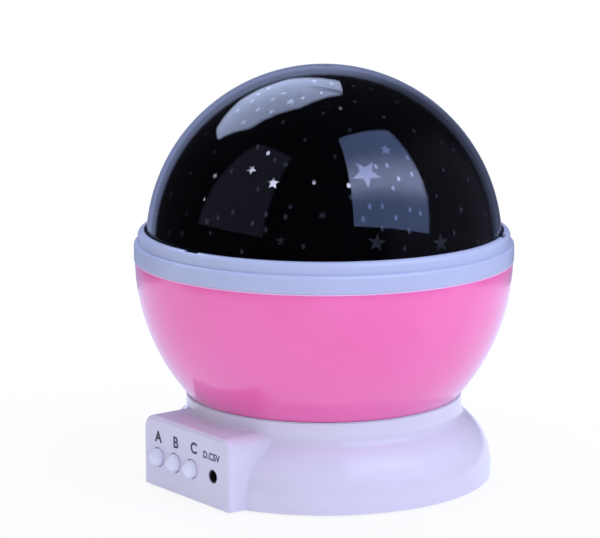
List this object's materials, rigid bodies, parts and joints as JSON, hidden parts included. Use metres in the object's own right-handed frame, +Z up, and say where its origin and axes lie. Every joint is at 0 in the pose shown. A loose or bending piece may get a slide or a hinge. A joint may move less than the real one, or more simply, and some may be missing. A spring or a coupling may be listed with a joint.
{
  "type": "star projector night light",
  "caption": "Table-top star projector night light: a star-printed dome on a motor-turned bowl, over a round base with a push-button console, a lamp post and a battery bay.",
  "frame": {"origin": "on the axis that the bowl turns on, at the level of the table under the rubber feet", "axes": "+Z up along the turning axis, -Y towards the console with its buttons, +X to the right of somebody who faces the console"},
  "size_m": [0.133, 0.133, 0.145],
  "materials": {
    "white_plastic": "glossy moulded white",
    "pink_plastic": "glossy moulded pink",
    "rim_plastic": "glossy moulded white",
    "reflector_plastic": "satin white",
    "clear_plastic": "clear and polished",
    "printed_film": "black printed film",
    "button_plastic": "glossy moulded white",
    "gear_plastic": "natural acetal",
    "foot_rubber": "matt rubber",
    "screw_steel": "zinc-plated",
    "clip_steel": "spring steel",
    "contact_steel": "nickel-plated",
    "motor_metal": "stamped steel",
    "board_laminate": "green solder mask",
    "switch_plastic": "black",
    "jack_plastic": "black",
    "pin_brass": "plated brass",
    "washer_plastic": "slippery nylon",
    "led_epoxy": "clear lens",
    "lead_sleeve": "soft PVC sleeve"
  },
  "bodies": {
    "base": {"base_shell": "white_plastic", "base_plate": "white_plastic", "base_screw_1": "screw_steel", "base_screw_2": "screw_steel", "base_screw_3": "screw_steel", "base_screw_4": "screw_steel", "rubber_foot_1": "foot_rubber", "rubber_foot_2": "foot_rubber", "rubber_foot_3": "foot_rubber", "rubber_foot_4": "foot_rubber", "board_screw_1": "screw_steel", "motor_screw_1": "screw_steel", "board_screw_2": "screw_steel", "motor_screw_2": "screw_steel", "post_screw_1": "screw_steel", "post_screw_2": "screw_steel", "post_screw_3": "screw_steel", "contact_bridge_1": "contact_steel", "contact_bridge_2": "contact_steel", "contact_bridge_3": "contact_steel", "contact_plus": "contact_steel", "contact_minus": "contact_steel", "control_board": "board_laminate", "led_board": "board_laminate", "tact_switch_a": "switch_plastic", "tact_switch_b": "switch_plastic", "tact_switch_c": "switch_plastic", "dc_jack": "jack_plastic", "dc_pin": "pin_brass", "motor": "motor_metal", "retaining_clip": "clip_steel", "lamp_post": "reflector_plastic", "lamp_holder": "reflector_plastic", "thrust_washer": "washer_plastic", "led_1": "led_epoxy", "led_2": "led_epoxy", "led_3": "led_epoxy", "led_4": "led_epoxy", "lamp_cap": "clear_plastic", "lamp_lead": "lead_sleeve", "motor_lead": "lead_sleeve", "battery_lead": "lead_sleeve"},
    "battery_door": {"battery_door": "white_plastic", "door_screw_1": "screw_steel", "door_screw_2": "screw_steel"},
    "button_a": {"button_a": "button_plastic"},
    "button_b": {"button_b": "button_plastic"},
    "button_c": {"button_c": "button_plastic"},
    "pinion": {"motor_shaft": "clip_steel", "drive_pinion": "gear_plastic"},
    "bowl": {"bowl_shell": "pink_plastic", "turntable_gear": "gear_plastic", "gear_screw_1": "screw_steel", "gear_screw_2": "screw_steel", "gear_screw_3": "screw_steel", "bowl_rim": "rim_plastic", "inner_plate": "reflector_plastic"},
    "dome": {"dome_cover": "clear_plastic", "star_mask": "printed_film"}
  },
  "joints": [
    {"name": "bowl_turn", "type": "hinge", "parent": "base", "child": "bowl", "pos_m": [0, 0, 0], "axis": [0, 0, 1], "continuous": true},
    {"name": "pinion_spin", "type": "hinge", "parent": "base", "child": "pinion", "pos_m": [0, 0.0301, 0], "axis": [0, 0, 1], "continuous": true},
    {"name": "dome_lift", "type": "slide", "parent": "bowl", "child": "dome", "axis": [0, 0, 1], "range_m": [0, 0.07]},
    {"name": "battery_door_off", "type": "slide", "parent": "base", "child": "battery_door", "axis": [0, 0, -1], "range_m": [0, 0.03]},
    {"name": "button_a_press", "type": "slide", "parent": "base", "child": "button_a", "axis": [0, 1, 0], "range_m": [0, 0.0006], "stiffness_N_per_m": 400, "springref_m": -0.0003},
    {"name": "button_b_press", "type": "slide", "parent": "base", "child": "button_b", "axis": [0, 1, 0], "range_m": [0, 0.0006], "stiffness_N_per_m": 400, "springref_m": -0.0003},
    {"name": "button_c_press", "type": "slide", "parent": "base", "child": "button_c", "axis": [0, 1, 0], "range_m": [0, 0.0006], "stiffness_N_per_m": 400, "springref_m": -0.0003}
  ],
  "couplings": [
    {"joint": "pinion_spin", "follows": "bowl_turn", "ratio": -4}
  ]
}
